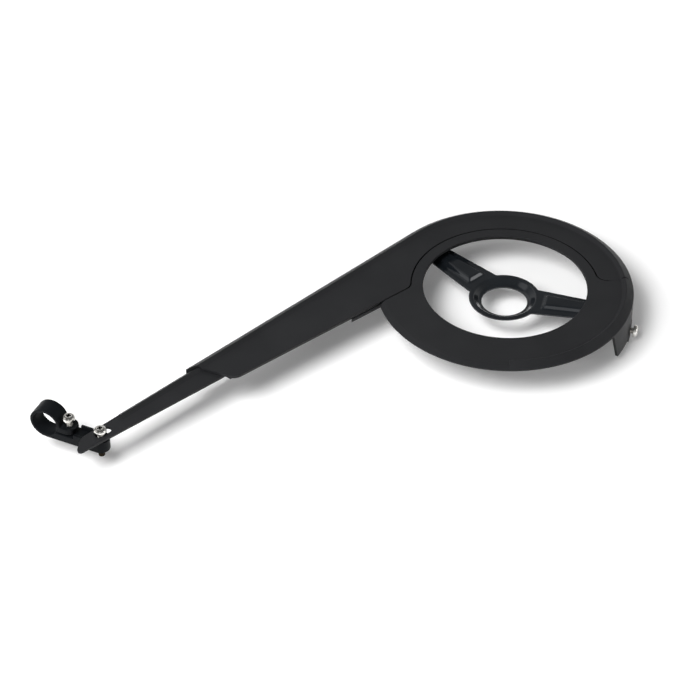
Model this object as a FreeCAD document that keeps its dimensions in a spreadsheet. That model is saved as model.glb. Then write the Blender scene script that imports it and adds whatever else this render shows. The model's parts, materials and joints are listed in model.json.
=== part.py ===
import FreeCAD, Part
import math
import os
from types import SimpleNamespace
import Sketcher

# Bicycle chain guard: a moulded cover with a long arm, a moulded ring round the crank, a pressed steel
# bracket for the bottom bracket, a blade that slides out of the arm and a clip for the chainstay.
# Millimetres and degrees. The origin is the centre of the bottom bracket's bore on the bracket's seat,
# +Z points out of the guard's face, the arm runs along -X and its skirt is on the +Y side.

dimensions = {
    # Moulded plates
    "face_height": 17,          # face of the guard above the bracket's seat
    "wall": 2.4,                # moulded wall
    "hole_radius": 63,          # opening for the crank
    "seam_radius": 72,          # inner edge of the main guard over the ring
    "seam_gap": 0.3,            # open seam between main guard and ring
    "seam_angle": 40.2,         # front end of the main guard, below the X axis
    "corner_share": 0.515,      # corners of the seam, as a share of the flat outside it
    "lap_lead": 2,              # angle by which the lap starts before the front seam
    "lap_overrun": 11,          # angle by which the lap runs on under the arm
    "lap_width": 12,            # part of the ring that lies under the main guard
    "lap_clearance": 0.5,       # between nested walls
    # Raised edge and skirt
    "rim_radius": 98.5,         # outside of the guard round the chainring
    "rim_band": 9,              # width of the raised edge
    "ridge_step": 2.7,          # from the edge's foot to its crest
    "ridge_rise": 2.6,
    "shoulder_drop": 1.8,       # outer end of the edge's slope, below the face
    "skirt_depth": 28,
    # Ring
    "ridge_end_angle": 135.2,   # where the raised edge stops on the ring, below the X axis
    "skirt_end_angle": 81,      # where the ring's skirt stops, below the X axis
    "skirt_end_lean": 5,        # the skirt's slanted end, as an angle round the ring
    "plain_band": 4.2,          # width of the chamfered edge on the rest of the ring
    "plain_drop": 1.9,
    "plain_overrun": 6.5,       # angle by which the chamfered edge runs on, before the arm trims it
    "lip_depth": 3,             # turned down lip of the ring
    "tongue_reach": 111,        # ring's tongue under the arm, from the centre
    "tongue_width": 18,
    # Arm
    "arm_length": 239.5,        # from the centre to the end of the raised edge
    "arm_root_depth": 53.5,     # from the upper edge to the lower edge, at the centre
    "arm_taper": 5.15,
    "arm_skirt_depth": 16,      # skirt at the arm's end
    "taper_start": 24,          # where the skirt starts to get shallower
    "end_bevel": 7.3,           # cut across the raised edge at the arm's end
    "end_lean": 23.5,           # lean of the arm's end
    "end_corner": 9,
    # Guides for the blade, inside the arm
    "guide_length": 58,
    "guide_wall": 2,
    "guide_lip": 3.5,
    # Snap hooks of the main guard, through the ring's lap
    "hook_inset": 6.5,          # from the seam's radius
    "hook_first": 12,           # first hook, below the X axis
    "hook_spread": 120,         # from the first hook to the last
    "hook_width": 12,
    "hook_leg": 2.2,
    "hook_nose": 1.4,           # reach under the lap
    "hook_height": 2.4,         # nose with its slope
    "hook_clearance": 0.25,
    # Bottom bracket's bracket
    "sheet": 2,
    "bore_radius": 17.5,
    "seat_radius": 19.6,        # flat seat round the bore
    "dish_radius": 24,
    "dish_depth": 4,
    "plate_radius": 27.6,
    "bracket_front_angle": 58,  # front arm, below the X axis
    "bracket_spread": 146,      # from the front arm to the top arm
    "bracket_arm_width": 33,    # width of the bracket's arms, taken at the centre
    "rib_start": 30,
    "rib_end": 84,
    "rib_root_width": 17,
    "rib_tip_width": 11,
    "rib_rise": 3,
    "rib_slope": 38,
    "lug_radius": 9,            # rounded lugs on the skirts and tabs on the bracket
    "lug_stand": 0.3,           # how far the lug's edges stand out of the wall
    "lug_drop": 25.6,           # bracket screws below the face
    "tab_clearance": 0.3,
    # Metric screws and nuts
    "screw_radius": 2.5,
    "screw_hole_clearance": 0.25,
    "thread_clearance": 0.1,
    "head_radius": 4.75,
    "head_height": 3.3,
    "recess_depth": 1.9,
    "recess_width": 1.2,
    "recess_span": 4.6,
    "nut_width": 8,
    "nut_height": 4,
    "nut_clearance": 0.15,
    "nut_recess": 0.5,          # how deep the nuts lie in the clip
    "bracket_screw_length": 14,
    "bracket_screw_proud": 2.6,
    # Blade
    "blade_overlap": 70,        # blade inside the arm
    "blade_width": 20.6,        # in the arm, from the blade's upper edge
    "blade_break": 12.5,        # where the taper starts, inside the arm's end
    "blade_tip_width": 11.6,
    "blade_reach": 117,         # tip beyond the arm's end
    "blade_shoulder": 13,       # slanted upper corner of the tip
    "blade_shoulder_corner": 15,
    "blade_tip_corner": 2.5,
    "blade_skirt_depth": 9,
    "blade_skirt_reach": 68,    # blade's skirt and raised edge beyond the arm's end
    "slot_width": 6,
    "slot_back": 1.4,           # travel of the bolt towards the tip
    "slot_forward": 6.6,        # travel of the bolt towards the arm
    # Clip
    "bolt_setback": 26.6,       # bolt from the blade's tip
    "bolt_inset": 9.5,          # bolt from the rim's line
    "clip_angle": 110.5,
    "clip_width": 13.5,
    "tail_height": 9.5,
    "tail_clearance": 1,        # under the blade, with the bolt slack
    "tail_lip": 2.2,
    "tail_floor": 6,            # up to the slit between lug and ear
    "ear_distance": 25.6,       # from the bolt to the clip's screw
    "ear_height": 4.6,
    "ear_gap": 2,
    "loop_distance": 42,
    "loop_radius": 10,          # inside of the loop
    "strap": 2.2,
    "blade_screw_proud": 2.3,
    "blade_screw_length": 22,
    "clamp_screw_proud": 5,
    "clamp_screw_length": 18,
}

doc = FreeCAD.newDocument("chain_guard")
sheet = doc.addObject("Spreadsheet::Sheet", "Sizes")
for row, (alias, number) in enumerate(dimensions.items(), start=1):
    sheet.set(f"A{row}", alias)
    sheet.set(f"B{row}", str(number))
    sheet.setAlias(f"B{row}", alias)
doc.recompute()


class Size:
    """A number with the sheet formula that gives it."""

    def __init__(self, formula, value):
        self.formula = formula
        self.value = value

    def __add__(self, other):
        other = as_size(other)
        return Size(f"({self.formula} + {other.formula})", self.value + other.value)

    def __sub__(self, other):
        other = as_size(other)
        return Size(f"({self.formula} - {other.formula})", self.value - other.value)

    def __mul__(self, other):
        other = as_size(other)
        return Size(f"({self.formula} * {other.formula})", self.value * other.value)

    def __truediv__(self, other):
        other = as_size(other)
        return Size(f"({self.formula} / {other.formula})", self.value / other.value)

    def __neg__(self):
        return Size(f"(-{self.formula})", -self.value)

    def __radd__(self, other):
        return as_size(other) + self

    def __rsub__(self, other):
        return as_size(other) - self

    def __rmul__(self, other):
        return as_size(other) * self


def as_size(number):
    return number if isinstance(number, Size) else Size(repr(number), number)


def cosine(angle):
    return Size(f"cos({angle.formula})", math.cos(math.radians(angle.value)))


def sine(angle):
    return Size(f"sin({angle.formula})", math.sin(math.radians(angle.value)))


def tangent(angle):
    return Size(f"tan({angle.formula})", math.tan(math.radians(angle.value)))


def arccosine(ratio):
    return Size(f"(acos({ratio.formula}) / 1 deg)", math.degrees(math.acos(ratio.value)))


def root(number):
    return Size(f"sqrt({number.formula})", math.sqrt(number.value))


def bind(thing, place, size):
    thing.setExpression(place, as_size(size).formula)


d = SimpleNamespace(**{alias: Size(f"Sizes.{alias}", number) for alias, number in dimensions.items()})
zero = as_size(0)
margin = as_size(2)             # how far cutting tools reach past what they cut
quarter_turn = as_size(90)
half_turn = as_size(180)
full_turn = as_size(360)
bodies = []


# Sketches and features

class Disc:
    def __init__(self, x, y, radius):
        self.x = x
        self.y = y
        self.radius = radius


def make_body(label):
    body = doc.addObject("PartDesign::Body", label)
    body.Label = label
    bodies.append(body)
    return body


def origin_feature(body, role):
    return [feature for feature in body.Origin.OriginFeatures if feature.Role == role][0]


# A sketch on one of the body's planes, turned about its upright axis and lifted along its normal
def sketch_on(body, name, role, lift=zero, turn=None):
    sketch = body.newObject("Sketcher::SketchObject", name)
    sketch.AttachmentSupport = (origin_feature(body, role), "")
    sketch.MapMode = "FlatFace"
    if turn is None:
        bind(sketch, "AttachmentOffset.Base.z", lift)
        return sketch
    upright = FreeCAD.Vector(0, 1, 0)
    sketch.AttachmentOffset = FreeCAD.Placement(FreeCAD.Vector(), FreeCAD.Rotation(upright, turn.value))
    bind(sketch, "AttachmentOffset.Rotation.Angle", turn)
    bind(sketch, "AttachmentOffset.Base.x", lift * sine(turn))
    bind(sketch, "AttachmentOffset.Base.z", lift * cosine(turn))
    return sketch


def pin_point(sketch, geometry, position, x, y):
    for kind, size in (("DistanceX", as_size(x)), ("DistanceY", as_size(y))):
        index = sketch.addConstraint(Sketcher.Constraint(kind, -1, 1, geometry, position, size.value))
        bind(sketch, f"Constraints[{index}]", size)


def draw_polygon(sketch, corners):
    points = [FreeCAD.Vector(as_size(x).value, as_size(y).value, 0) for x, y in corners]
    count = len(points)
    for index in range(count):
        sketch.addGeometry(Part.LineSegment(points[index], points[(index + 1) % count]), False)
    for index in range(count):
        sketch.addConstraint(Sketcher.Constraint("Coincident", index, 2, (index + 1) % count, 1))
    for index, (x, y) in enumerate(corners):
        pin_point(sketch, index, 1, x, y)


def draw(sketch, outline):
    if not isinstance(outline, Disc):
        draw_polygon(sketch, outline)
        return
    center = FreeCAD.Vector(as_size(outline.x).value, as_size(outline.y).value, 0)
    circle = sketch.addGeometry(Part.Circle(center, FreeCAD.Vector(0, 0, 1), outline.radius.value), False)
    pin_point(sketch, circle, 3, outline.x, outline.y)
    index = sketch.addConstraint(Sketcher.Constraint("Radius", circle, outline.radius.value))
    bind(sketch, f"Constraints[{index}]", outline.radius)


def extrude(body, name, role, outline, start, end, turn=None, taper=None):
    pad = body.newObject("PartDesign::Pad", name)
    sketch = sketch_on(body, name + "_outline", role, start, turn)
    draw(sketch, outline)
    pad.Profile = sketch
    bind(pad, "Length", end - start)
    if taper is not None:
        bind(pad, "TaperAngle", taper)
    body.Tip = pad
    doc.recompute()
    return pad


def cut(body, name, role, outline, start, end, turn=None, taper=None):
    doc.recompute()
    before = body.Shape.Volume
    pocket = body.newObject("PartDesign::Pocket", name)
    sketch = sketch_on(body, name + "_outline", role, start, turn)
    draw(sketch, outline)
    pocket.Profile = sketch
    pocket.Reversed = True
    bind(pocket, "Length", end - start)
    if taper is not None:
        bind(pocket, "TaperAngle", taper)
    body.Tip = pocket
    doc.recompute()
    if body.Shape.Volume >= before:
        raise ValueError(f"{name} removes nothing from {body.Label}")
    return pocket


# A section in radius and height, turned about the Z axis from start through sweep
def revolve(body, name, section, start=zero, sweep=full_turn):
    revolution = body.newObject("PartDesign::Revolution", name)
    sketch = sketch_on(body, name + "_section", "XZ_Plane", zero, start)
    draw_polygon(sketch, section)
    revolution.Profile = sketch
    revolution.ReferenceAxis = (sketch, ["V_Axis"])
    bind(revolution, "Angle", sweep)
    body.Tip = revolution
    doc.recompute()
    return revolution


def repeat_round(body, name, features, spread, count):
    pattern = body.newObject("PartDesign::PolarPattern", name)
    pattern.Originals = features
    pattern.Axis = (origin_feature(body, "Z_Axis"), [""])
    pattern.Mode = "Extent"
    pattern.Occurrences = count
    bind(pattern, "Angle", spread)
    body.Tip = pattern
    doc.recompute()
    return pattern


# Rounds the upright edges that stand at the given plan points
def round_corners(body, name, places, radius):
    tolerance = 0.05
    base = body.Tip
    shape = base.Shape
    names = []
    for index, edge in enumerate(shape.Edges, start=1):
        ends = [vertex.Point for vertex in edge.Vertexes]
        upright = len(ends) == 2 and math.hypot(ends[0].x - ends[1].x, ends[0].y - ends[1].y) < tolerance
        if upright and any(math.hypot(ends[0].x - x, ends[0].y - y) < tolerance for x, y in places):
            names.append(f"Edge{index}")
    if not names:
        raise ValueError(f"{name} finds no edge on {body.Label}")
    fillet = body.newObject("PartDesign::Fillet", name)
    fillet.Base = (base, names)
    bind(fillet, "Radius", radius)
    body.Tip = fillet
    doc.recompute()
    return fillet


def along(angle, distance):
    return distance * cosine(angle), distance * sine(angle)


# Where the arm's lower edge stands
def lower_edge(x):
    return d.rim_radius - d.arm_root_depth - x * tangent(d.arm_taper)


# The angle at which a line just below that edge crosses a circle about the centre
def arm_crossing(radius, gap):
    nearest = (lower_edge(zero) - gap) * cosine(d.arm_taper)
    return quarter_turn - d.arm_taper + arccosine(nearest / radius)


def plan_point(angle, distance):
    x, y = along(angle, distance)
    return x.value, y.value


# Levels and radii shared by the moulded pieces
face = d.face_height
under = face - d.wall
lap_top = under - d.lap_clearance
lap_bottom = lap_top - d.wall
nest = d.wall + d.lap_clearance
foot = d.rim_radius - d.rim_band
seam_corner = (foot - d.seam_radius) * d.corner_share
crest = foot + d.ridge_step
edge_slope = (d.ridge_rise + d.shoulder_drop) / (d.rim_radius - crest)
skirt_bottom = face - d.skirt_depth
rim_inside = d.rim_radius - d.wall
crest_top = face + d.ridge_rise
leg_inside = d.seam_radius + d.hook_inset
leg_outside = leg_inside + d.hook_leg
hook_count = 4
screw_level = face - d.lug_drop
lug_front = root(d.rim_radius * d.rim_radius - d.lug_radius * d.lug_radius) + d.lug_stand
lug_back = root(rim_inside * rim_inside - d.lug_radius * d.lug_radius) - d.lug_stand
tab_front = lug_back - d.tab_clearance
tab_back = tab_front - d.sheet
front_angle = -d.bracket_front_angle
top_angle = front_angle + d.bracket_spread
screw_hole = d.screw_radius + d.screw_hole_clearance
nut_hole = d.screw_radius + d.thread_clearance
arm_end = -d.arm_length
blade_top = face - nest
blade_under = blade_top - d.wall
blade_edge = d.rim_radius - nest
blade_tip = arm_end - d.blade_reach
bolt_x = blade_tip + d.bolt_setback
bolt_y = d.rim_radius - d.bolt_inset


# Section of the raised edge and its skirt; nested copies lie inside and below the first
def rim_section(inner, bottom, inset=zero):
    level = face - inset
    outer = d.rim_radius - inset
    inside = outer - d.wall
    top = level + d.ridge_rise
    return [
        (inner, level),
        (foot, level),
        (crest, top),
        (outer, top - edge_slope * (outer - crest)),
        (outer, bottom),
        (inside, bottom),
        (inside, top - d.wall - edge_slope * (inside - crest)),
        (crest, top - d.wall),
        (foot, level - d.wall),
        (inner, level - d.wall),
    ]


# A rounded lug that hangs from a skirt, flat, with its screw hole
def add_lug(body, angle):
    extrude(body, "lug", "YZ_Plane", Disc(zero, screw_level, d.lug_radius), lug_back, lug_front, angle)
    hole = Disc(zero, screw_level, screw_hole)
    cut(body, "lug_hole", "YZ_Plane", hole, lug_back - margin, lug_front + margin, angle)


# Main guard: arc, arm, skirt, lug, guides for the blade and snap hooks for the ring

main_guard = make_body("main_guard")
arc_sweep = d.seam_angle + quarter_turn
revolve(main_guard, "arc", rim_section(d.seam_radius, skirt_bottom), -d.seam_angle, arc_sweep)

section_start = foot - margin
arm_rim = rim_section(section_start, skirt_bottom)
extrude(main_guard, "arm_edge", "YZ_Plane", arm_rim, arm_end - margin, zero)

plate_end = arm_end - margin
arm_plate = [
    (zero, foot),
    (plate_end, foot),
    (plate_end, lower_edge(plate_end)),
    (zero, lower_edge(zero)),
]
extrude(main_guard, "arm_plate", "XY_Plane", arm_plate, under, face)
seam = Disc(zero, zero, d.seam_radius)
cut(main_guard, "ring_seat", "XY_Plane", seam, under - margin, face + margin)

bevel_x = arm_end + d.end_bevel
bevel_y = d.rim_radius - d.end_bevel
end_foot = lower_edge(zero)
end_cut = [
    (arm_end - margin, d.rim_radius + margin),
    (bevel_x, bevel_y),
    (bevel_x + (bevel_y - end_foot) * tangent(d.end_lean), end_foot),
    (arm_end - margin * 3, end_foot),
    (arm_end - margin * 3, d.rim_radius + margin),
]
cut(main_guard, "arm_end", "XY_Plane", end_cut, skirt_bottom - margin, crest_top + margin)

shallow_end = arm_end - margin * 3
skirt_taper = [
    (-d.taper_start, skirt_bottom),
    (shallow_end, face - d.arm_skirt_depth),
    (shallow_end, skirt_bottom - margin),
    (-d.taper_start, skirt_bottom - margin),
]
cut(main_guard, "skirt_taper", "XZ_Plane", skirt_taper, -d.rim_radius - margin, -rim_inside + margin)
add_lug(main_guard, top_angle)

guide_end = bevel_x + margin
guide_start = guide_end + d.guide_length
guide_floor = blade_under - d.lap_clearance
tongue_edge = d.rim_radius - nest - d.blade_width
rail = tongue_edge - d.lap_clearance
rail_start = guide_end + d.end_corner + margin
hook = [
    (rail - d.guide_wall, under),
    (rail, under),
    (rail, guide_floor),
    (rail + d.guide_lip, guide_floor),
    (rail + d.guide_lip, guide_floor - d.guide_wall),
    (rail - d.guide_wall, guide_floor - d.guide_wall),
]
extrude(main_guard, "lower_guide", "YZ_Plane", hook, rail_start, guide_start)
ledge_top = blade_top - d.blade_skirt_depth - d.lap_clearance
ledge = [
    (rim_inside, ledge_top),
    (rim_inside, ledge_top - d.guide_wall),
    (rim_inside - d.guide_lip, ledge_top - d.guide_wall),
    (rim_inside - d.guide_lip, ledge_top),
]
extrude(main_guard, "upper_guide", "YZ_Plane", ledge, rail_start, guide_start)

half_hook = d.hook_width / 2
nose_top = lap_bottom - d.hook_clearance
nose_bottom = nose_top - d.hook_height
hook_section = [
    (leg_inside, under),
    (leg_inside, nose_bottom),
    (leg_outside, nose_bottom),
    (leg_outside + d.hook_nose, nose_top - d.hook_nose / 2),
    (leg_outside + d.hook_nose, nose_top),
    (leg_outside, nose_top),
    (leg_outside, under),
]
snap_hook = extrude(main_guard, "snap_hook", "XZ_Plane", hook_section, -half_hook, half_hook, -d.hook_first)
repeat_round(main_guard, "snap_hooks", [snap_hook], d.hook_spread, hook_count)

front_corner = plan_point(-d.seam_angle, d.seam_radius)
rear_corner = plan_point(arm_crossing(d.seam_radius, zero), d.seam_radius)
round_corners(main_guard, "front_corner", [front_corner], seam_corner)
round_corners(main_guard, "rear_corner", [rear_corner], seam_corner)
taper_tangent = math.tan(math.radians(d.arm_taper.value))
lean_tangent = math.tan(math.radians(d.end_lean.value))
toe_y = (end_foot.value - taper_tangent * (bevel_x.value + bevel_y.value * lean_tangent))
toe_y = toe_y / (1 - taper_tangent * lean_tangent)
toe_x = bevel_x.value + (bevel_y.value - toe_y) * lean_tangent
round_corners(main_guard, "arm_toe", [(toe_x, toe_y)], d.end_corner)


# Ring: raised edge and skirt at the front, chamfered edge below, lap and tongue under the main guard

guard_ring = make_body("guard_ring")
gap_angle = d.seam_gap / d.rim_radius * half_turn / as_size(math.pi)
seam_start = -d.seam_angle - gap_angle
ridge_sweep = d.ridge_end_angle - d.seam_angle - gap_angle
lip_bottom = face - d.lip_depth
revolve(guard_ring, "raised_edge", rim_section(d.hole_radius, lip_bottom), -d.ridge_end_angle, ridge_sweep)

plain_foot = d.rim_radius - d.plain_band
plain_section = [
    (d.hole_radius, face),
    (plain_foot, face),
    (d.rim_radius, face - d.plain_drop),
    (d.rim_radius, lip_bottom),
    (rim_inside, lip_bottom),
    (rim_inside, under - d.plain_drop / 2),
    (plain_foot, under),
    (d.hole_radius, under),
]
seam_inside = d.seam_radius - d.seam_gap
arm_meet = arm_crossing(seam_inside, d.seam_gap)
plain_end = full_turn - arm_meet + d.plain_overrun
plain_sweep = plain_end - d.ridge_end_angle
revolve(guard_ring, "plain_edge", plain_section, -plain_end, plain_sweep)

far_left = -d.rim_radius - margin
above_arm = [
    (far_left, lower_edge(far_left) - d.seam_gap),
    (zero, lower_edge(zero) - d.seam_gap),
    (zero, d.rim_radius),
    (far_left, d.rim_radius),
]
cut(guard_ring, "arm_clearance", "XY_Plane", above_arm, lip_bottom - margin, face + margin)

skirt_section = [
    (rim_inside, lip_bottom),
    (d.rim_radius, lip_bottom),
    (d.rim_radius, skirt_bottom),
    (rim_inside, skirt_bottom),
]
skirt_sweep = d.skirt_end_angle - d.seam_angle - gap_angle
revolve(guard_ring, "skirt", skirt_section, -d.skirt_end_angle, skirt_sweep)
lean_run = d.rim_radius * tangent(d.skirt_end_lean)
skirt_lean = [
    (-margin, lip_bottom),
    (zero, lip_bottom),
    (lean_run, skirt_bottom),
    (lean_run, skirt_bottom - margin),
    (-margin, skirt_bottom - margin),
]
lean_reach = rim_inside * cosine(d.skirt_end_lean) - margin
cut(guard_ring, "skirt_lean", "YZ_Plane", skirt_lean, lean_reach, d.rim_radius + margin, -d.skirt_end_angle)
add_lug(guard_ring, front_angle)

lap_radius = d.seam_radius + d.lap_width
lap_foot = d.hole_radius + d.wall
lap_section = [
    (d.hole_radius, face),
    (seam_inside, face),
    (seam_inside, lap_top),
    (lap_radius, lap_top),
    (lap_radius, lap_bottom),
    (lap_foot, lap_bottom),
    (lap_foot, under),
    (d.hole_radius, under),
]
lap_start = seam_start - d.lap_lead
revolve(guard_ring, "lap", lap_section, lap_start, arm_meet + d.lap_overrun - lap_start)

web_corner = seam_corner + d.seam_gap
round_corners(guard_ring, "front_web", [plan_point(seam_start, seam_inside)], web_corner)
round_corners(guard_ring, "rear_web", [plan_point(arm_meet, seam_inside)], web_corner)

tongue_root = d.hole_radius * cosine(arm_meet)
tongue_top = lower_edge(tongue_root) + d.tongue_width
tongue = [
    (-d.tongue_reach, lower_edge(-d.tongue_reach)),
    (tongue_root, lower_edge(tongue_root)),
    (tongue_root, tongue_top),
    (d.tongue_width - d.tongue_reach, tongue_top),
]
extrude(guard_ring, "tongue", "XY_Plane", tongue, lap_bottom, lap_top)
window_inside = leg_inside - d.hook_nose - d.hook_clearance
window_outside = leg_outside + d.hook_clearance
half_window = half_hook + d.hook_clearance
window = [
    (window_inside, lap_bottom - margin),
    (window_outside, lap_bottom - margin),
    (window_outside, lap_top + d.seam_gap),
    (window_inside, lap_top + d.seam_gap),
]
hook_window = cut(guard_ring, "hook_window", "XZ_Plane", window, -half_window, half_window, -d.hook_first)
repeat_round(guard_ring, "hook_windows", [hook_window], d.hook_spread, hook_count)


# Bracket: pressed sheet with a dished ring, two ribbed arms and tabs bent down inside the skirts

bb_bracket = make_body("bb_bracket")
plate_bottom = d.dish_depth
plate_top = plate_bottom + d.sheet
extrude(bb_bracket, "plate", "XY_Plane", Disc(zero, zero, d.plate_radius), plate_bottom, plate_top)
half_root = d.bracket_arm_width / 2
arm_outline = [
    (zero, -half_root),
    (tab_front, -d.lug_radius),
    (tab_front, d.lug_radius),
    (zero, half_root),
]
bracket_arm = extrude(bb_bracket, "arm", "XY_Plane", arm_outline, plate_bottom, plate_top)


def rib_outline(inset):
    half_start = d.rib_root_width / 2 - inset
    half_end = d.rib_tip_width / 2 - inset
    return [
        (d.rib_start + inset, -half_start),
        (d.rib_end - inset, -half_end),
        (d.rib_end - inset, half_end),
        (d.rib_start + inset, half_start),
    ]


rib_top = plate_top + d.rib_rise
rib = extrude(bb_bracket, "rib", "XY_Plane", rib_outline(zero), plate_top, rib_top, taper=-d.rib_slope)
rib_back = rib_top - d.sheet
hollow_outline = rib_outline(d.sheet / 4)
hollow = cut(bb_bracket, "rib_hollow", "XY_Plane", hollow_outline, plate_bottom, rib_back, taper=-d.rib_slope)
tab_web_outline = [
    (-d.lug_radius, screw_level),
    (d.lug_radius, screw_level),
    (d.lug_radius, plate_top),
    (-d.lug_radius, plate_top),
]
tab_disc = Disc(zero, screw_level, d.lug_radius)
tab_bore = Disc(zero, screw_level, screw_hole)
tab_web = extrude(bb_bracket, "tab_web", "YZ_Plane", tab_web_outline, tab_back, tab_front)
tab_end = extrude(bb_bracket, "tab_end", "YZ_Plane", tab_disc, tab_back, tab_front)
tab_hole = cut(bb_bracket, "tab_hole", "YZ_Plane", tab_bore, tab_back - margin, tab_front + margin)
arm_features = [bracket_arm, rib, hollow, tab_web, tab_end, tab_hole]
repeat_round(bb_bracket, "arms", arm_features, d.bracket_spread, 2)
mouth = Disc(zero, zero, d.dish_radius)
cut(bb_bracket, "dish_mouth", "XY_Plane", mouth, plate_bottom - margin, plate_top + margin)
half_sheet = d.sheet / 2
dish_section = [
    (d.bore_radius, zero),
    (d.seat_radius + half_sheet, zero),
    (d.dish_radius + half_sheet, plate_bottom),
    (d.dish_radius + half_sheet, plate_top),
    (d.dish_radius, plate_top),
    (d.seat_radius, d.sheet),
    (d.bore_radius, d.sheet),
]
revolve(bb_bracket, "dish", dish_section)


# Puts a body at a point, with its own Z axis along the given direction in the XY plane or turned about Z
def place(body, x, y, z, outward=None, turn=None):
    axis = FreeCAD.Vector(0, 0, 1)
    angle = 0
    if outward is not None:
        axis = FreeCAD.Vector(-sine(outward).value, cosine(outward).value, 0)
        angle = quarter_turn.value
    body.Placement = FreeCAD.Placement(FreeCAD.Vector(), FreeCAD.Rotation(axis, angle))
    for letter, size in (("x", x), ("y", y), ("z", z)):
        bind(body, f"Placement.Base.{letter}", size)
    if outward is not None:
        bind(body, "Placement.Rotation.Axis.x", -sine(outward))
        bind(body, "Placement.Rotation.Axis.y", cosine(outward))
    if turn is not None:
        bind(body, "Placement.Rotation.Angle", turn)
    doc.recompute()


place(bb_bracket, zero, zero, zero, turn=front_angle)


# Screws and nuts

def pan_screw(label, length):
    body = make_body(label)
    section = [
        (zero, -length),
        (d.screw_radius, -length),
        (d.screw_radius, zero),
        (d.head_radius, zero),
        (d.head_radius, d.head_height),
        (zero, d.head_height),
    ]
    revolve(body, "turned", section)
    near = d.recess_width / 2
    far = d.recess_span / 2
    recess = [
        (far, -near), (far, near), (near, near),
        (near, far), (-near, far), (-near, near),
        (-far, near), (-far, -near), (-near, -near),
        (-near, -far), (near, -far), (near, -near),
    ]
    cut(body, "recess", "XY_Plane", recess, d.head_height - d.recess_depth, d.head_height + margin)
    return body


def hexagon(x, width):
    corner = width / root(as_size(3))
    half = width / 2
    return [
        (x + corner, zero), (x + corner / 2, half), (x - corner / 2, half),
        (x - corner, zero), (x - corner / 2, -half), (x + corner / 2, -half),
    ]


def hex_nut(label):
    body = make_body(label)
    extrude(body, "hexagon", "XY_Plane", hexagon(zero, d.nut_width), zero, d.nut_height)
    cut(body, "bore", "XY_Plane", Disc(zero, zero, nut_hole), -margin, d.nut_height + margin)
    return body


for place_name, angle in (("front", front_angle), ("top", top_angle)):
    seat_x, seat_y = along(angle, lug_front + d.bracket_screw_proud)
    nut_x, nut_y = along(angle, tab_back - d.nut_height)
    screw = pan_screw(f"bracket_screw_{place_name}", d.bracket_screw_length)
    place(screw, seat_x, seat_y, screw_level, outward=angle)
    nut = hex_nut(f"bracket_nut_{place_name}")
    place(nut, nut_x, nut_y, screw_level, outward=angle)


# Blade: flat, with a raised edge and skirt that nest in the arm, and a slot at its tip

extension_blade = make_body("extension_blade")
blade_start = arm_end + d.blade_overlap
blade_skirt_end = arm_end - d.blade_skirt_reach
blade_outline = [
    (blade_start, tongue_edge),
    (blade_start, foot),
    (blade_skirt_end, foot),
    (blade_skirt_end, blade_edge),
    (blade_tip + d.blade_shoulder, blade_edge),
    (blade_tip, blade_edge - d.blade_tip_width),
    (arm_end + d.blade_break, tongue_edge),
]
extrude(extension_blade, "plate", "XY_Plane", blade_outline, blade_under, blade_top)
blade_rim = rim_section(foot - margin, blade_top - d.blade_skirt_depth, nest)
extrude(extension_blade, "edge", "YZ_Plane", blade_rim, blade_skirt_end, blade_start)
slot_half = d.slot_width / 2
slot_ends = (bolt_x - d.slot_back, bolt_x + d.slot_forward)
slot = [
    (slot_ends[0], bolt_y - slot_half),
    (slot_ends[1], bolt_y - slot_half),
    (slot_ends[1], bolt_y + slot_half),
    (slot_ends[0], bolt_y + slot_half),
]
slot_low = blade_under - margin
slot_high = blade_top + margin
cut(extension_blade, "slot", "XY_Plane", slot, slot_low, slot_high)
for index, x in enumerate(slot_ends):
    cut(extension_blade, f"slot_end_{index + 1}", "XY_Plane", Disc(x, bolt_y, slot_half), slot_low, slot_high)
shoulder_at = [((blade_tip + d.blade_shoulder).value, blade_edge.value)]
tip_at = [(blade_tip.value, (blade_edge - d.blade_tip_width).value)]
round_corners(extension_blade, "shoulder", shoulder_at, d.blade_shoulder_corner)
round_corners(extension_blade, "tip", tip_at, d.blade_tip_corner)


# Clip, from its bolt outwards: tail under the blade, lug and ear for its screw, loop for the chainstay

chainstay_clamp = make_body("chainstay_clamp")
clip_half = d.clip_width / 2
tail_top = blade_under - d.tail_clearance
tail_bottom = tail_top - d.tail_height
lug_top = tail_bottom + d.tail_floor
ear_bottom = lug_top + d.ear_gap
ear_top = ear_bottom + d.ear_height
ear_start = d.ear_distance - clip_half
loop_level = tail_bottom + d.loop_radius + d.strap
loop_outside = d.loop_radius + d.strap


def across(start, end, half):
    return [(start, -half), (end, -half), (end, half), (start, half)]


tail_disc = Disc(zero, zero, clip_half)
ear_disc = Disc(d.ear_distance, zero, clip_half)
loop_disc = Disc(d.loop_distance, loop_level, loop_outside)
extrude(chainstay_clamp, "tail", "XY_Plane", across(zero, ear_start, clip_half), tail_bottom, tail_top)
extrude(chainstay_clamp, "tail_end", "XY_Plane", tail_disc, tail_bottom, tail_top)
lug = across(ear_start, d.loop_distance, clip_half)
extrude(chainstay_clamp, "lug", "XY_Plane", lug, tail_bottom, lug_top)
extrude(chainstay_clamp, "loop", "XZ_Plane", loop_disc, -clip_half, clip_half)
ear = across(d.ear_distance, d.loop_distance, clip_half)
extrude(chainstay_clamp, "ear", "XY_Plane", ear, ear_bottom, ear_top)
extrude(chainstay_clamp, "ear_end", "XY_Plane", ear_disc, ear_bottom, ear_top)
channel = across(clip_half, ear_start + margin, clip_half - d.tail_lip)
cut(chainstay_clamp, "channel", "XY_Plane", channel, lug_top, tail_top + margin)
inside = Disc(d.loop_distance, loop_level, d.loop_radius)
cut(chainstay_clamp, "loop_inside", "XZ_Plane", inside, -clip_half - margin, clip_half + margin)
slit_start = d.loop_distance - loop_outside - margin
slit_end = d.loop_distance - d.loop_radius / 2
slit = across(slit_start, slit_end, clip_half + margin)
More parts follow.
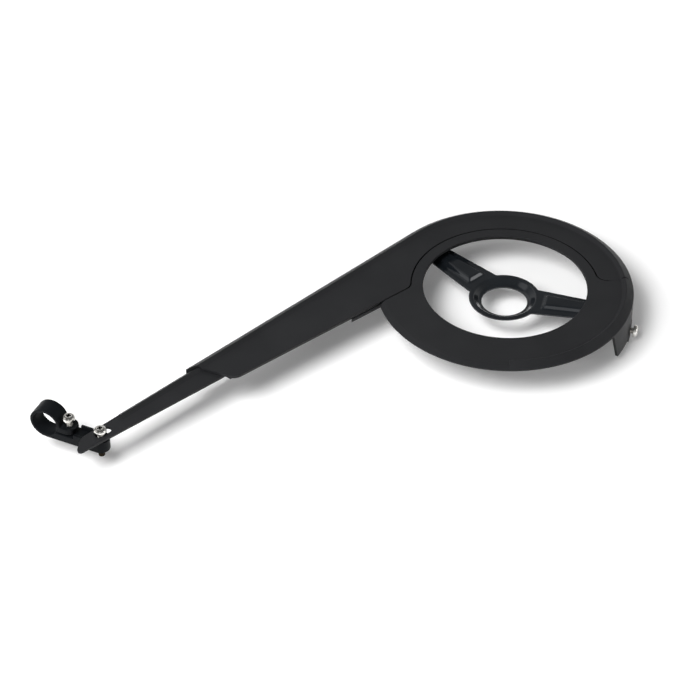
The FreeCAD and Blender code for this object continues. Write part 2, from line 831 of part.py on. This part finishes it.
cut(chainstay_clamp, "slit", "XY_Plane", slit, lug_top, ear_bottom)
pocket_top = tail_bottom + d.nut_height + d.nut_recess
for name, x, top in (("bolt", zero, tail_top), ("ear", d.ear_distance, ear_top)):
    through = Disc(x, zero, screw_hole)
    cut(chainstay_clamp, f"{name}_hole", "XY_Plane", through, tail_bottom - margin, top + margin)
    seat = hexagon(x, d.nut_width + d.nut_clearance * 2)
    cut(chainstay_clamp, f"{name}_nut_seat", "XY_Plane", seat, tail_bottom - margin, pocket_top)
place(chainstay_clamp, bolt_x, bolt_y, zero, turn=d.clip_angle)

ear_x, ear_y = along(d.clip_angle, d.ear_distance)
nut_level = pocket_top - d.nut_height
blade_screw = pan_screw("blade_screw", d.blade_screw_length)
place(blade_screw, bolt_x, bolt_y, blade_top + d.blade_screw_proud, turn=d.clip_angle)
blade_nut = hex_nut("blade_nut")
place(blade_nut, bolt_x, bolt_y, nut_level, turn=d.clip_angle)
clamp_screw = pan_screw("clamp_screw", d.clamp_screw_length)
place(clamp_screw, bolt_x + ear_x, bolt_y + ear_y, ear_top + d.clamp_screw_proud, turn=d.clip_angle)
clamp_nut = hex_nut("clamp_nut")
place(clamp_nut, bolt_x + ear_x, bolt_y + ear_y, nut_level, turn=d.clip_angle)


# Check and write

failed = [item.Name for item in doc.Objects if "Invalid" in item.State or "Error" in item.State]
if failed:
    raise RuntimeError("failed features: " + ", ".join(failed))
os.makedirs("parts", exist_ok=True)
for body in bodies:
    shape = body.Shape
    if shape.isNull() or not shape.isValid():
        raise RuntimeError(f"{body.Label} is not a valid solid")
    shape.exportStep(f"parts/{body.Label}.step")
    print(body.Label, len(shape.Solids), "solids", round(shape.Volume), "mm3")
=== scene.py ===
import json
import math

import bpy
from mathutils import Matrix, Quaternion, Vector


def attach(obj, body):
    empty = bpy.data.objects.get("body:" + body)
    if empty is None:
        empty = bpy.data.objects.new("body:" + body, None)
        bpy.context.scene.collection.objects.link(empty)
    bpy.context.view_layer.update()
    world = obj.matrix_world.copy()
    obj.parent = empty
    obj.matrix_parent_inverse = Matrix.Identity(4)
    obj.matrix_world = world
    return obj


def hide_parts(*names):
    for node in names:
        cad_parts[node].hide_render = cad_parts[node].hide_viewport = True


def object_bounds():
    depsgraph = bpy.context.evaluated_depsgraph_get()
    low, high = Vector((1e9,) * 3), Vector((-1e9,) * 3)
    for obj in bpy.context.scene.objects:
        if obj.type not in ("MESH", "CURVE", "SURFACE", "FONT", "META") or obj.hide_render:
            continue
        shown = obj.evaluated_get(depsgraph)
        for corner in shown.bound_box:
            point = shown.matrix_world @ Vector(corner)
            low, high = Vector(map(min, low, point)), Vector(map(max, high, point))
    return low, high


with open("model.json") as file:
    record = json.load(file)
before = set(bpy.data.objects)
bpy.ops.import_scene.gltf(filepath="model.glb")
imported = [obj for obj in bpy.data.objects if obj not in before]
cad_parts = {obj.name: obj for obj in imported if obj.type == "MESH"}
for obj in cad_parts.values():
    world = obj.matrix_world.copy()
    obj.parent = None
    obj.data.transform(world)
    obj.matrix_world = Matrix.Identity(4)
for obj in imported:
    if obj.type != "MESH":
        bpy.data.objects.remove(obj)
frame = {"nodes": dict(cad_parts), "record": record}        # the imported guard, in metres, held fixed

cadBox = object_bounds()
mm = 0.001
sameSpot = 0.01 * mm          # places closer than this count as one
cutSlack = 0.001 * mm          # a point this close to a cutting plane lies on it
nodes = frame["nodes"]
bodyOf = {node: body for body, group in frame["record"]["behaviour"]["bodies"].items() for node in group}


# Small hand tools

def clearPick():
    if bpy.context.mode != "OBJECT":
        bpy.ops.object.mode_set(mode="OBJECT")
    bpy.ops.object.select_all(action="DESELECT")


def pick(piece):
    clearPick()
    piece.select_set(True)
    bpy.context.view_layer.objects.active = piece


def applyModifier(piece, kind, **settings):
    pick(piece)
    modifier = piece.modifiers.new(kind.title(), kind)
    for key, setting in settings.items():
        setattr(modifier, key, setting)
    bpy.ops.object.modifier_apply(modifier=modifier.name)


def settle(piece):          # the place goes into the mesh, the object sits at the origin
    pick(piece)
    bpy.ops.object.transform_apply(location=True, rotation=True, scale=True)


def editAll(piece, action="SELECT"):
    pick(piece)
    bpy.ops.object.mode_set(mode="EDIT")
    bpy.ops.mesh.select_all(action=action)


def choose(piece, kind, wanted):          # only these faces, edges or points, in edit mode
    editAll(piece, "DESELECT")
    bpy.ops.mesh.select_mode(type=kind)
    bpy.ops.object.mode_set(mode="OBJECT")
    parts = {"FACE": piece.data.polygons, "EDGE": piece.data.edges, "VERT": piece.data.vertices}[kind]
    for index in wanted:
        parts[index].select = True
    bpy.ops.object.mode_set(mode="EDIT")


def edgesWhere(piece, test):          # edges whose two points both pass
    passed = [test(point.co) for point in piece.data.vertices]
    return [edge.index for edge in piece.data.edges if all(passed[index] for index in edge.vertices)]


def addCylinder(sides, radius, low, high, turn=0):          # upright on the middle line
    clearPick()
    bpy.ops.mesh.primitive_cylinder_add(
        vertices=sides, radius=radius, depth=high - low, location=(0, 0, (low + high) / 2),
        rotation=(0, 0, math.radians(turn)))
    cylinder = bpy.context.active_object
    settle(cylinder)
    return cylinder


def copyPiece(piece, name):          # the copy has its own mesh
    pick(piece)
    bpy.ops.object.duplicate()
    double = bpy.context.active_object
    double.name = name
    return double


def discard(piece):
    pick(piece)
    bpy.ops.object.delete()


def cutWith(piece, tool, operation="DIFFERENCE"):          # cut faces keep the tool's own finish
    applyModifier(
        piece, "BOOLEAN", operation=operation, object=tool, solver="EXACT", material_mode="TRANSFER")
    discard(tool)


def softenEdges(piece, width, corner):          # a narrow rounding along all that is sharper than this
    applyModifier(
        piece, "BEVEL", width=width, segments=2, limit_method="ANGLE", angle_limit=math.radians(corner),
        use_clamp_overlap=True)


def smoothShade(piece, angle):
    pick(piece)
    bpy.ops.object.shade_smooth_by_angle(angle=math.radians(angle))


def paint(piece, material):
    piece.data.materials.clear()
    piece.data.materials.append(material)


def carry(piece, node):          # the piece stands for the node, on the node's body
    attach(piece, bodyOf[node])
    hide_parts(node)


# Shader sums: a wire is a socket that can be added, subtracted and multiplied

class Wire:
    def __init__(self, finish, socket):
        self.finish = finish
        self.socket = socket

    def sums(self, operation, first, second):
        return self.finish.node("ShaderNodeMath", {"operation": operation}, {0: first, 1: second})

    def __add__(self, other):
        return self.sums("ADD", self, other)

    def __radd__(self, other):
        return self.sums("ADD", other, self)

    def __sub__(self, other):
        return self.sums("SUBTRACT", self, other)

    def __rsub__(self, other):
        return self.sums("SUBTRACT", other, self)

    def __mul__(self, other):
        return self.sums("MULTIPLY", self, other)

    def __rmul__(self, other):
        return self.sums("MULTIPLY", other, self)


class Finish:
    def __init__(self, name, shelf=bpy.data.materials, shader="Principled BSDF", place="Object"):
        self.block = shelf.new(name)
        self.block.use_nodes = True
        self.tree = self.block.node_tree
        self.shader = self.tree.nodes[shader]
        self.place = self.node("ShaderNodeTexCoord", {}, {}, place)

    def node(self, kind, settings, inputs, output=0):
        made = self.tree.nodes.new(kind)
        for key, setting in settings.items():
            if key == "stops":
                self.setStops(made.color_ramp, setting)
            else:
                setattr(made, key, setting)
        for key, value in inputs.items():
            self.feed(made.inputs[key], value)
        return Wire(self, made.outputs[output])

    def setStops(self, ramp, stops):
        while len(ramp.elements) < len(stops):
            ramp.elements.new(1)
        for element, (position, colour) in zip(ramp.elements, stops):
            element.position = position
            element.color = (*colour, 1)

    def feed(self, socket, value):
        if isinstance(value, Wire):
            self.tree.links.new(value.socket, socket)
        elif socket.type == "RGBA":          # colours are written without their alpha
            socket.default_value = (*value, 1)
        else:
            socket.default_value = value

    def set(self, **sockets):
        for key, value in sockets.items():
            self.feed(self.shader.inputs[key.replace("_", " ")], value)

    def noise(self, size, detail=2.0, roughness=0.5):
        inputs = {"Vector": self.place, "Scale": 1 / size, "Detail": detail, "Roughness": roughness}
        return self.node("ShaderNodeTexNoise", {}, inputs)

    def between(self, value, low, high):
        inputs = {"Value": value, "From Min": low, "From Max": high}
        return self.node("ShaderNodeMapRange", {"clamp": True}, inputs)

    def mix(self, share, first, second):          # 0, 6 and 7 are the sockets of a colour mix
        return self.node("ShaderNodeMix", {"data_type": "RGBA"}, {0: share, 6: first, 7: second}, 2)

    def height(self):
        return self.node("ShaderNodeSeparateXYZ", {}, {"Vector": self.place}, "Z")

    def bump(self, height, depth):
        inputs = {"Height": height, "Distance": depth, "Strength": 1.0}
        return self.node("ShaderNodeBump", {}, inputs)


# Finishes: swing is how far the roughness goes either way where the noise leaves its middle

guardLook = dict(
    dark=(0.0165, 0.0170, 0.0183), pale=(0.0195, 0.0200, 0.0214),
    cloud=38 * mm, cloudDetail=3.0, cloudSpan=(0.35, 0.65),
    grain=0.45 * mm, grainDepth=0.035 * mm, grainDetail=3.0, grainBreak=0.62,
    roughness=0.53, swing=0.10, middle=0.5, gloss=0.20)

# for the walls inside the joint: the guard's plastic painted near-black as painted shade
seamLook = dict(guardLook, dark=(0.003, 0.003, 0.003), pale=(0.004, 0.004, 0.004), gloss=0.05)

clipLook = dict(
    dark=(0.0050, 0.0058, 0.0068), pale=(0.0072, 0.0082, 0.0095),
    cloud=14 * mm, cloudDetail=3.0, cloudSpan=(0.35, 0.65),
    grain=0.7 * mm, grainDepth=0.02 * mm, grainDetail=2.0, grainBreak=0.5,
    roughness=0.40, swing=0.12, middle=0.5, gloss=0.06)


def makePlastic(name, look):          # moulded, with a fine grain from the tool
    finish = Finish(name)
    grain = finish.noise(look["grain"], look["grainDetail"], look["grainBreak"])
    cloud = finish.noise(look["cloud"], look["cloudDetail"])
    finish.set(
        Base_Color=finish.mix(finish.between(cloud, *look["cloudSpan"]), look["dark"], look["pale"]),
        Roughness=look["roughness"] + look["swing"] * (grain - look["middle"]),
        Normal=finish.bump(grain, look["grainDepth"]),
        Specular_IOR_Level=look["gloss"])
    return finish.block


bracketLook = dict(
    coat=(0.010, 0.0125, 0.0155), worn=(0.016, 0.019, 0.023),
    cloud=22 * mm, cloudDetail=4.0, cloudSpan=(0.4, 0.7),
    peel=1.8 * mm, peelDepth=0.012 * mm,
    roughness=0.17, swing=0.10, middle=0.5, lacquer=0.6, lacquerRoughness=0.08, metal=0.35)


def makePaint(name, look):          # black paint on steel, with a slight orange peel
    finish = Finish(name)
    peel = finish.noise(look["peel"])
    cloud = finish.noise(look["cloud"], look["cloudDetail"])
    finish.set(
        Base_Color=finish.mix(finish.between(cloud, *look["cloudSpan"]), look["coat"], look["worn"]),
        Roughness=look["roughness"] + look["swing"] * (cloud - look["middle"]),
        Normal=finish.bump(peel, look["peelDepth"]),
        Coat_Weight=look["lacquer"], Coat_Roughness=look["lacquerRoughness"], Metallic=look["metal"])
    return finish.block


# Zinc is tarnished below tarnishHeight: at a metre under the guard, all of it is clean
zincLook = dict(
    bright=(0.80, 0.79, 0.76), dull=(0.62, 0.60, 0.56),
    cloud=2.4 * mm, cloudDetail=3.0, cloudSpan=(0.35, 0.75),
    tarnish=(0.07, 0.055, 0.035), tarnishHeight=-1.0, tarnishFade=3 * mm,
    scratch=0.35 * mm, scratchDepth=0.006 * mm, roughness=0.20, swing=0.22, middle=0.4)

tarnishedLook = dict(zincLook, tarnishHeight=2 * mm)
# the cross recess is the same zinc painted much darker: painted shade in the hollow
shadedRecessLook = dict(zincLook, bright=(0.13, 0.12, 0.11), dull=(0.07, 0.07, 0.065))


def makeZinc(name, look):
    finish = Finish(name)
    cloud = finish.noise(look["cloud"], look["cloudDetail"])
    scratch = finish.noise(look["scratch"])
    line, fade = look["tarnishHeight"], look["tarnishFade"]
    clean = finish.between(finish.height(), line - fade, line + fade)
    plate = finish.mix(finish.between(cloud, *look["cloudSpan"]), look["bright"], look["dull"])
    finish.set(
        Base_Color=finish.mix(clean, look["tarnish"], plate),
        Roughness=look["roughness"] + look["swing"] * (cloud - look["middle"]),
        Normal=finish.bump(scratch, look["scratchDepth"]),
        Metallic=1.0)
    return finish.block


guardPlastic = makePlastic("guardPlastic", guardLook)
seamShade = makePlastic("seamShade", seamLook)
bracketPaint = makePaint("bracketPaint", bracketLook)
clipPlastic = makePlastic("clipPlastic", clipLook)
brightZinc = makeZinc("brightZinc", zincLook)
tarnishedZinc = makeZinc("tarnishedZinc", tarnishedLook)
shadedRecessZinc = makeZinc("shadedRecessZinc", shadedRecessLook)
print("finishes: 7")


# Moulded pieces: the solid's own form with its edges broken as the tool breaks them

def copyNode(node, name, merge):
    piece = bpy.data.objects.new(name, nodes[node].data.copy())
    bpy.context.scene.collection.objects.link(piece)
    editAll(piece)
    bpy.ops.mesh.remove_doubles(threshold=merge)
    bpy.ops.object.mode_set(mode="OBJECT")
    return piece


def pickCorners(piece, corner, low, high):          # sharp edges between two heights
    editAll(piece, "DESELECT")
    bpy.ops.mesh.select_mode(type="EDGE")
    bpy.ops.mesh.edges_select_sharp(sharpness=math.radians(corner))
    bpy.ops.object.mode_set(mode="OBJECT")
    between = edgesWhere(piece, lambda co: low < co.z < high)
    choose(piece, "EDGE", [index for index in between if piece.data.edges[index].select])


# Joint of cover and ring: open on the face as a dark line, shut down the skirt, a short step between
seam = dict(
    other="guard_ring", reach=0.45 * mm, lean=0.2, above=14.7 * mm, crest=17.8 * mm, step=0.5 * mm,
    open=0.6 * mm, shut=0.25 * mm)


def seamWalls(piece):          # upright faces against the ring, with their lowest and highest place
    closest = nodes[seam["other"]].closest_point_on_mesh
    points = piece.data.vertices
    near = [closest(point.co, distance=seam["reach"])[0] for point in points]
    walls = []
    for face in piece.data.polygons:
        heights = [points[index].co.z for index in face.vertices]
        if abs(face.normal.z) < seam["lean"] and all(near[index] for index in face.vertices):
            walls.append((face.index, min(heights), max(heights)))
    return walls


def moveWalls(piece, walls, distance):
    choose(piece, "FACE", walls)
    bpy.ops.transform.shrink_fatten(value=distance, use_even_offset=True)
    bpy.ops.object.mode_set(mode="OBJECT")
    for index in walls:
        piece.data.polygons[index].material_index = 1          # painted shade: the joint's walls get the near-black material


def openSeam(piece):
    above, crest, step = seam["above"], seam["crest"], seam["step"]
    for height in (crest, crest - step):
        tall = [index for index, low, high in seamWalls(piece) if low < 0 and high > height]
        choose(piece, "FACE", tall)
        bpy.ops.mesh.bisect(plane_co=(0, 0, height), plane_no=(0, 0, 1), threshold=cutSlack)
        bpy.ops.object.mode_set(mode="OBJECT")
    walls = [(index, low, high) for index, low, high in seamWalls(piece) if high > above]
    skirtWalls = [index for index, low, high in walls if low < 0]          # only the skirt goes below zero
    faceWalls = [index for index, low, high in walls if low > 0 and abs(high - crest) > sameSpot]
    moveWalls(piece, faceWalls, -seam["open"])
    moveWalls(piece, skirtWalls, seam["shut"])
    print("seam walls:", len(faceWalls), "open,", len(skirtWalls), "shut")


def breakEdges(node, name, edge, material):
    piece = copyNode(node, name, edge["merge"])
    editAll(piece)
    bpy.ops.mesh.dissolve_limited(angle_limit=math.radians(edge["flat"]))
    bpy.ops.object.mode_set(mode="OBJECT")
    paint(piece, material)
    if edge["seam"]:
        piece.data.materials.append(seamShade)
        openSeam(piece)
    for low, high, radius in edge["bands"]:
        pickCorners(piece, edge["corner"], low, high)
        bpy.ops.mesh.bevel(
            offset=radius, segments=edge["steps"], affect="EDGES", clamp_overlap=False, loop_slide=False,
            material=0)
        bpy.ops.object.mode_set(mode="OBJECT")
    smoothShade(piece, edge["smooth"])
    applyModifier(piece, "WEIGHTED_NORMAL", keep_sharp=True)
    carry(piece, node)


# Angles in degrees. Each band: lowest and highest place of the edges, then their rounding
ringEdge = dict(
    merge=0.15 * mm, flat=0.6, corner=24, steps=3, smooth=40, seam=False,
    bands=((18.5 * mm, 22 * mm, 0.9 * mm), (14.9 * mm, 18.0 * mm, 0.5 * mm)))
guardEdge = dict(ringEdge, seam=True)
bladeEdge = dict(ringEdge, bands=((-30 * mm, 30 * mm, 0.4 * mm),))
clipEdge = dict(ringEdge, bands=((-30 * mm, 50 * mm, 0.4 * mm),))

breakEdges("main_guard", "mainGuard", guardEdge, guardPlastic)
breakEdges("guard_ring", "guardRing", ringEdge, guardPlastic)
breakEdges("extension_blade", "extensionBlade", bladeEdge, guardPlastic)
breakEdges("chainstay_clamp", "chainstayClip", clipEdge, clipPlastic)
print("moulded pieces: 4")


# Bracket: the pressing's bends run round, as the die leaves them

pressing = dict(merge=0.002 * mm, voxel=0.42 * mm, soften=0.5, passes=18)


def makeBracket():
    piece = copyNode("bb_bracket", "bbBracket", pressing["merge"])
    applyModifier(piece, "REMESH", mode="VOXEL", voxel_size=pressing["voxel"], use_smooth_shade=True)
    applyModifier(piece, "SMOOTH", factor=pressing["soften"], iterations=pressing["passes"])
    paint(piece, bracketPaint)
    carry(piece, "bb_bracket")


makeBracket()
print("bracket pressed")


# Where the fasteners stand: angles round the crank for the two at the skirt, none for the upright ones

frontAngle = -58
topAngle = 88


def outwardAxis(angle):
    if angle is None:
        return Vector((0, 0, 1))
    return Vector((math.cos(math.radians(angle)), math.sin(math.radians(angle)), 0))


def ends(node, axis):          # the node's inner and outer end along the axis
    reach = [vertex.co.dot(axis) for vertex in nodes[node].data.vertices]
    return min(reach), max(reach)


def topOf(node, axis):          # the outer end of the node's middle line
    aside = [vertex.co - axis * vertex.co.dot(axis) for vertex in nodes[node].data.vertices]
    low = Vector([min(point[index] for point in aside) for index in range(3)])
    high = Vector([max(point[index] for point in aside) for index in range(3)])
    return (low + high) / 2 + axis * max(ends(node, axis))


def standOn(piece, node, axis, height, turn):          # from upright at the origin to the node's own place
    spun = Quaternion((0, 0, 1), math.radians(turn))
    piece.rotation_euler = (axis.to_track_quat("Z", "Y") @ spun).to_euler()
    piece.location = topOf(node, axis) - axis * height
    settle(piece)


# Pan head screws with a cross recess and a rolled thread

screwForm = dict(
    headRadius=4.75 * mm, headHeight=3.3 * mm, dome=2.5 * mm, domeSteps=10, sides=56, smooth=35,
    recessSpan=5.2 * mm, recessWidth=1.4 * mm, recessDepth=2.2 * mm, recessTaper=(0.5, 0.8, 1),
    recessEdge=0.1 * mm, recessCorner=50,
    shankRadius=2.48 * mm, pitch=0.8 * mm, threadDepth=0.42 * mm, threadSteps=28, threadCrest=(0.42, 0.58),
    spareTurns=3, threadMerge=0.002 * mm, intoHead=0.4 * mm)

screws = {
    "bracket_screw_front": dict(name="bracketScrewFront", angle=frontAngle, turn=20, finish=brightZinc),
    "bracket_screw_top": dict(name="bracketScrewTop", angle=topAngle, turn=60, finish=brightZinc),
    "blade_screw": dict(name="bladeScrew", angle=None, turn=58, finish=tarnishedZinc),
    "clamp_screw": dict(name="clampScrew", angle=None, turn=35, finish=brightZinc),
}


def makeRecessBar(turn):
    form = screwForm
    low = form["headHeight"] - form["recessDepth"]
    tall = form["recessDepth"] * 2          # well past the top of the head
    clearPick()
    bpy.ops.mesh.primitive_cube_add(size=1, location=(0, 0, low + tall / 2))
    bar = bpy.context.active_object
    bar.scale = (form["recessSpan"], form["recessWidth"], tall)
    settle(bar)
    choose(bar, "VERT", [vertex.index for vertex in bar.data.vertices if vertex.co.z < low + sameSpot])
    bpy.ops.transform.resize(value=form["recessTaper"], center_override=(0, 0, low))
    bpy.ops.object.mode_set(mode="OBJECT")
    bar.rotation_euler.z = math.radians(turn)
    settle(bar)
    # the faces this bar cuts in the head take the painted shade of the recess
    paint(bar, shadedRecessZinc)
    return bar


def makeHead():
    form = screwForm
    head = addCylinder(form["sides"], form["headRadius"], 0, form["headHeight"])
    choose(head, "EDGE", edgesWhere(head, lambda co: co.z > form["headHeight"] - sameSpot))
    bpy.ops.mesh.bevel(offset=form["dome"], segments=form["domeSteps"], affect="EDGES")
    bpy.ops.object.mode_set(mode="OBJECT")
    paint(head, brightZinc)
    for turn in (0, 90):
        cutWith(head, makeRecessBar(turn))
    softenEdges(head, form["recessEdge"], form["recessCorner"])
    return head


def makeThread(length):          # one pitch of the thread's profile, wound down the shank and cut flat
    form = screwForm
    pitch = form["pitch"]
    crest = form["shankRadius"]
    root = crest - form["threadDepth"]
    crestStart, crestEnd = form["threadCrest"]          # as shares of the pitch
    profile = ((root, 0), (crest, crestStart * pitch), (crest, crestEnd * pitch), (root, pitch))
    start = -length - pitch * form["spareTurns"] / 2
    clearPick()
    bpy.ops.mesh.primitive_circle_add(vertices=len(profile), radius=pitch, fill_type="NOTHING")
    thread = bpy.context.active_object
    for vertex, (radius, height) in zip(thread.data.vertices, profile):
        vertex.co = (radius, 0, start + height)
    choose(thread, "EDGE", edgesWhere(thread, lambda co: abs(co.x - root) < sameSpot))
    bpy.ops.mesh.delete(type="EDGE")
    bpy.ops.object.mode_set(mode="OBJECT")
    applyModifier(
        thread, "SCREW", axis="Z", screw_offset=pitch, angle=math.tau, steps=form["threadSteps"],
        render_steps=form["threadSteps"], iterations=math.ceil(length / pitch) + form["spareTurns"],
        use_merge_vertices=True, use_smooth_shade=True)
    editAll(thread)
    bpy.ops.mesh.remove_doubles(threshold=form["threadMerge"])
    for height, outward in ((-length, -1), (form["intoHead"], 1)):
        bpy.ops.mesh.select_all(action="SELECT")
        bpy.ops.mesh.bisect(
            plane_co=(0, 0, height), plane_no=(0, 0, outward), use_fill=True, clear_outer=True,
            threshold=cutSlack)
    bpy.ops.mesh.select_all(action="SELECT")
    bpy.ops.mesh.normals_make_consistent(inside=False)
    bpy.ops.object.mode_set(mode="OBJECT")
    return thread


def makeScrew(node, screw, head):
    axis = outwardAxis(screw["angle"])
    low, high = ends(node, axis)
    piece = copyPiece(head, screw["name"])
    piece.data.materials[0] = screw["finish"]          # the recess keeps its painted shade
    thread = makeThread(high - low - screwForm["headHeight"])
    paint(thread, screw["finish"])
    cutWith(piece, thread, "UNION")
    standOn(piece, node, axis, screwForm["headHeight"], screw["turn"])
    smoothShade(piece, screwForm["smooth"])
    carry(piece, node)


panHead = makeHead()
for screwNode, screw in screws.items():
    makeScrew(screwNode, screw, panHead)
discard(panHead)
print("screws:", len(screws))


# Hexagon nuts with turned corners

nutForm = dict(
    width=8.0 * mm, height=4.0 * mm, sides=6, sidesTurn=30, bore=2.58 * mm, boreSides=40,
    turned=4.5 * mm, turnedSides=48, turnedEdge=0.5 * mm, proud=0.01 * mm,
    edge=0.15 * mm, corner=35, smooth=30)

pocketTurn = 110.5          # how the nut pockets are turned in the clip

nuts = {
    "bracket_nut_front": dict(name="bracketNutFront", angle=frontAngle, turn=0),
    "bracket_nut_top": dict(name="bracketNutTop", angle=topAngle, turn=0),
    "blade_nut": dict(name="bladeNut", angle=None, turn=pocketTurn),
    "clamp_nut": dict(name="clampNut", angle=None, turn=pocketTurn),
}


def makeNut():
    form = nutForm
    height, proud = form["height"], form["proud"]
    cornerRadius = form["width"] / math.sqrt(3)          # the width is across the flats
    nut = addCylinder(form["sides"], cornerRadius, 0, height, form["sidesTurn"])
    turned = addCylinder(form["turnedSides"], form["turned"], -proud, height + proud)
    for end in (0, height):
        choose(turned, "EDGE", edgesWhere(turned, lambda co: abs(co.z - end) < proud * 2))
        bpy.ops.mesh.bevel(offset=form["turnedEdge"], segments=1, affect="EDGES")
        bpy.ops.object.mode_set(mode="OBJECT")
    cutWith(nut, turned, "INTERSECT")
    cutWith(nut, addCylinder(form["boreSides"], form["bore"], -height / 2, height * 1.5))
    softenEdges(nut, form["edge"], form["corner"])
    paint(nut, brightZinc)
    return nut


plainNut = makeNut()
for nutNode, nut in nuts.items():
    piece = copyPiece(plainNut, nut["name"])
    standOn(piece, nutNode, outwardAxis(nut["angle"]), nutForm["height"], nut["turn"])
    smoothShade(piece, nutForm["smooth"])
    carry(piece, nutNode)
discard(plainNut)
print("nuts:", len(nuts))


# Floor, light and camera: the rays that see the floor get it lifted to white

# Metres and degrees, with the lens in millimetres
studio = dict(
    floorSize=6.0, floorGap=0.2 * mm, floorRoughness=0.9,
    floorColour=(0.90, 0.90, 0.90), floorBounce=(0.45, 0.45, 0.45), floorLift=0.12,
    clearFrom=0.27, clearTo=0.50, rays=("Is Camera Ray", "Is Glossy Ray", "Is Transmission Ray"),
    glow=((0.0, (0.55,) * 3), (0.30, (0.42,) * 3), (0.55, (0.16,) * 3), (1.0, (0.10,) * 3)),
    target=(-0.1391, 0.0281, 0.017), distance=1.8568, turn=44.49, tilt=39.78,
    focal=128.57, sensor=36, near=0.01)


def makeFloor():
    clearPick()
    level = cadBox[0][2] - studio["floorGap"]
    bpy.ops.mesh.primitive_plane_add(size=studio["floorSize"], location=(0, 0, level))
    floor = bpy.context.active_object
    floor.name = "floor"
    finish = Finish("floorPaper")
    byCamera, byGloss, byGlass = [finish.node("ShaderNodeLightPath", {}, {}, ray) for ray in studio["rays"]]
    seen = finish.between(byCamera + byGloss + byGlass, 0, 1)
    aside = {0: finish.place, 1: (*studio["target"][:2], 0)}
    away = finish.node("ShaderNodeVectorMath", {"operation": "DISTANCE"}, aside, "Value")
    clear = finish.between(away, studio["clearFrom"], studio["clearTo"])          # plain white further out
    under = finish.node("ShaderNodeNewGeometry", {}, {}, "Backfacing")          # seen through from below
    finish.set(
        Alpha=1 - under * byCamera,
        Base_Color=finish.mix(seen, studio["floorBounce"], studio["floorColour"]),
        Roughness=studio["floorRoughness"], Specular_IOR_Level=0.0, Emission_Strength=1.0,
        Emission_Color=(studio["floorLift"] + clear) * seen)
    floor.data.materials.append(finish.block)


def makeWorld():          # bright low down, dim overhead
    room = Finish("softRoom", bpy.data.worlds, "Background", "Generated")
    glow = room.node("ShaderNodeValToRGB", {"stops": studio["glow"]}, {"Fac": room.height()})
    room.set(Color=glow, Strength=1.0)
    bpy.context.scene.world = room.block


lamps = {          # the main lamp, left of the camera, gives the shadow, and the panels give the gloss
    "mainLamp": dict(place=(-1.44, -0.12, 1.72), size=1.0, power=58.0, gloss=False),
    "rightPanel": dict(place=(0.72, -1.17, 0.61), size=0.5, power=1.8, gloss=True),
    "leftPanel": dict(place=(-1.19, 0.91, 1.00), size=1.0, power=1.8, gloss=True),
    "frontPanel": dict(place=(-1.52, -1.03, 1.39), size=0.8, power=1.5, gloss=True),
    "backPanel": dict(place=(0.34, 1.02, 1.00), size=0.5, power=0.6, gloss=True),
}


def makeLamps():
    for name, lamp in lamps.items():
        clearPick()
        bpy.ops.object.light_add(type="AREA", location=lamp["place"])
        light = bpy.context.active_object
        light.name = name
        light.data.size = lamp["size"]
        light.data.energy = lamp["power"]
        light.visible_glossy = lamp["gloss"]
        toTarget = Vector(studio["target"]) - Vector(lamp["place"])
        light.rotation_euler = toTarget.to_track_quat("-Z", "Y").to_euler()


def makeCamera():
    turn = math.radians(studio["turn"])
    tilt = math.radians(studio["tilt"])
    back = Vector((-math.sin(turn) * math.cos(tilt), -math.cos(turn) * math.cos(tilt), math.sin(tilt)))
    clearPick()
    bpy.ops.object.camera_add(location=Vector(studio["target"]) + back * studio["distance"])
    camera = bpy.context.active_object
    camera.rotation_euler = (-back).to_track_quat("-Z", "Y").to_euler()
    camera.data.sensor_width = studio["sensor"]
    camera.data.lens = studio["focal"]
    camera.data.clip_start = studio["near"]
    bpy.context.scene.camera = camera


makeFloor()
makeWorld()
makeLamps()
makeCamera()
bpy.context.scene.view_settings.view_transform = "Standard"
print("studio ready")
